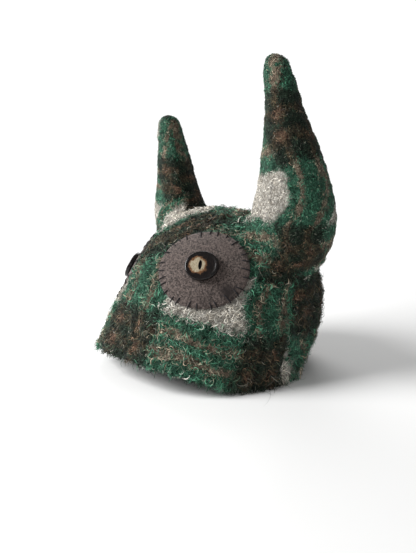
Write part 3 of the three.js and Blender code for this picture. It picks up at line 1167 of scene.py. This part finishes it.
def stitchHost(eye, turns, dice, feltTree):
    # a loose point for each stitch, at its middle on the felt, with its directions and length
    places, outward, inward, lengths = [], [], [], []
    for turn in turns:
        length = dice.uniform(*stitch["length"])
        reach = 1 - (0.5 * length - stitch["outside"]) / min(eye.half)
        right, up = eye.half[0] * reach * math.cos(turn), eye.half[1] * reach * math.sin(turn)
        place, normal = eye.hit(feltTree, right, up)
        slant = dice.uniform(-1, 1) * stitch["slant"] + turn
        places.append(place + normal * stitch["above"])
        outward.append(normal)
        inward.append(eye.level * math.cos(slant) + eye.upright * math.sin(slant))
        lengths.append(length)
    mesh = meshOf("stitches", places)
    for name, values in (("outward", outward), ("inward", inward)):
        layer = mesh.attributes.new(name, "FLOAT_VECTOR", "POINT")
        layer.data.foreach_set("vector", np.array(values).ravel())
    setPointValues(mesh, {"long": np.array(lengths)})
    return newObject("stitch_host", mesh)


# the buttons, as shares of their own half width and depth
button = {
    "sides": 72,
    "rim": 0.17,  # width of the raised rim
    "dish": 0.10,  # depth of the hollow in the face
    "edge": (0.09, 0.26),  # width and height of the round of the outer edges
    "edgeSteps": 5,
    "slit": (1.35 * mm, 3.8 * mm),  # half sizes of the lens-shaped slit
    "slitPower": 1.4,  # above 1 its ends are sharper than an oval's
    "slitSteps": 9,
    "slitDepth": 3.0 * mm,
    "slitPlace": (-1.2 * mm, 0.3 * mm),
    "spot": 7.4 * mm,  # radius of the pale middle
    "spotPlace": (-3.2 * mm, 0.2 * mm),
}


def buttonProfile():
    # from the middle of the face over the rim and down to the middle of the back, as radius and height
    dish, inner = button["dish"], 1 - button["rim"]
    wide, high = button["edge"]
    points = [(0.16 * i, 1 - dish) for i in range(1, 5)]
    points += [(inner - 0.06, 1 - dish), (inner - 0.02, 1 - dish * 0.8), (inner + 0.02, 1 - dish * 0.3),
               (inner + 0.06, 1 - 0.02)]
    turns = [math.pi / 2 * i / button["edgeSteps"] for i in range(button["edgeSteps"] + 1)]
    points += [(1 - wide + wide * math.sin(turn), 1 - high + high * math.cos(turn)) for turn in turns]
    points += [(1 - wide + wide * math.cos(turn), high - high * math.sin(turn)) for turn in turns]
    return points + [(0.5, 0.0)]


def buttonMesh(eye):
    # the turned oval
    sides = button["sides"]
    rows = buttonProfile()
    circle = [(math.cos(2 * math.pi * k / sides), math.sin(2 * math.pi * k / sides)) for k in range(sides)]
    coords = [(0, 0, 1 - button["dish"])]
    coords += [(radius * x, radius * y, height) for radius, height in rows for x, y in circle] + [(0, 0, 0)]
    faces = discFaces(len(rows), sides)
    last = 1 + (len(rows) - 1) * sides
    faces += [(last + (k + 1) % sides, last + k, len(coords) - 1) for k in range(sides)]
    return meshOf("button", np.array(coords) * np.array([*eye.buttonHalf, eye.depth]), faces)


def slitCutter(eye):
    (across, tall), (right, up) = button["slit"], button["slitPlace"]
    turns = [math.pi * i / button["slitSteps"] for i in range(2 * button["slitSteps"])]
    outline = [(right + across * math.copysign(abs(math.sin(turn)) ** button["slitPower"], math.sin(turn)),
                up - tall * math.cos(turn)) for turn in turns]
    levels = (eye.depth - button["slitDepth"], eye.depth + 1 * mm)
    return prism([[(x, y, z) for x, y in outline] for z in levels])


def makeButton(eye, material):
    piece = newObject(eye.side + "_eye_horn_button", buttonMesh(eye))
    cutter = slitCutter(eye)
    cut(piece, cutter, "DIFFERENCE")
    bpy.data.objects.remove(cutter)
    flat = coordsOf(piece.data)
    layer = piece.data.uv_layers.new(name="buttonPlace")
    layer.data.foreach_set("uv", flat[cornersOf(piece.data)][:, :2].ravel())
    axes = np.stack([eye.level, eye.upright, eye.looks])
    setCoords(piece.data, eye.middle + eye.looks * eye.back + flat @ axes)
    piece.data.materials.clear()
    piece.data.materials.append(material)
    shadeSmooth(piece.data, 40)
    return piece


def buttonMaterial():
    material, board, surface = newMaterial("button_horn", {"Roughness": 0.2, "Specular IOR Level": 0.35})
    place = board.node("ShaderNodeUVMap", uv_map="buttonPlace")
    here = board.here()
    bent = board.vector("ADD", place, board.sway(board.speckle(here, 4.5 * mm, 2.0, 0.6, "Color"), 7 * mm))
    gap = board.vector("DISTANCE", bent, (*button["spotPlace"], 0.0), out="Value") * (1 / button["spot"])
    grain = board.speckle(board.vector("MULTIPLY", here, (1.0, 1.0, 0.25)), 1.1 * mm, 3.0, 0.6)
    dark = board.blend(grain.fade(0.45, 0.75), (0.004, 0.003, 0.003), (0.014, 0.009, 0.007))
    brown = board.blend(grain.fade(0.35, 0.65), (0.115, 0.050, 0.022), (0.23, 0.12, 0.055))
    cream = board.blend(grain.fade(0.3, 0.7), (0.27, 0.225, 0.15), (0.44, 0.38, 0.27))
    colour = board.blend(gap.fade(1.22, 0.92), dark, brown)
    colour = board.blend(gap.fade(0.98, 0.80), colour, cream)
    # painted shade: inside the lens-shaped slit the colour goes near black, the dark of a deep hole
    offset = board.vector("SUBTRACT", place, (*button["slitPlace"], 0.0))
    shares = (1 / button["slit"][0], 1 / button["slit"][1], 0.0)
    lens = board.vector("LENGTH", board.vector("MULTIPLY", offset, shares), out="Value")
    feed(board, surface, "Base Color", board.blend(lens.fade(1.35, 1.05), colour, (0.003, 0.003, 0.003)))
    wear = board.speckle(here, 2.0 * mm, 3.0, 0.6)
    feed(board, surface, "Roughness", 0.12 + wear * 0.14)
    feedBump(board, surface, 0.15, 0.15 * mm, wear)
    return material


# how fuzzy the felt is, and its stains by where the photograph shows them, with their reach and strength
fuzz = {"Density": 0.8, "Length": 2.4, "Width": 0.16, "Rise": 0.22, "Curl": 2.4, "Stray": 1.6,
        "Rows": 3, "Seed": 21}
stainSights = [((228, 293), 11 * mm, 1.0), ((206, 302), 8 * mm, 0.6), ((233, 240), 6 * mm, 0.5)]

felt = feltMaterial([(seen(pixel) * mm, reach, amount) for pixel, reach, amount in stainSights])
feltHair, thread, horn = fuzzMaterial(), threadMaterial(), buttonMaterial()
fuzzTree, sewTree = fibreTree("felt_fuzz"), stitchTree()
for number, side in enumerate(("left", "right")):
    dice = np.random.default_rng(stitch["seed"] + number)
    eye = Eye(side)
    turns = stitchTurns(dice)
    cover = newObject(side + "_eye_felt", feltMesh(eye, turns))
    cover.data.materials.append(felt)
    shadeSmooth(cover.data, 60)
    hairs = growFibres(side + "_eye_felt_fuzz", fuzzTree, cover, fuzz, feltHair)
    host = stitchHost(eye, turns, dice, treeOf(cover.data))
    stitches = grow(side + "_eye_stitches", sewTree, host, {
        "Bow": stitch["bow"], "Thread": stitch["radius"], "Material": thread})
    bpy.data.objects.remove(host)
    disc = makeButton(eye, horn)
    for part in (cover, hairs, stitches, disc):
        "button_horn" if part == disc else "wool_felt"
        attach(part, "root")
    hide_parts(side + "_eye_patch")
    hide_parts(side + "_eye_button")
    print(side, "eye", len(hairs.data.polygons), "fuzz faces,", len(stitches.data.polygons), "stitch faces")
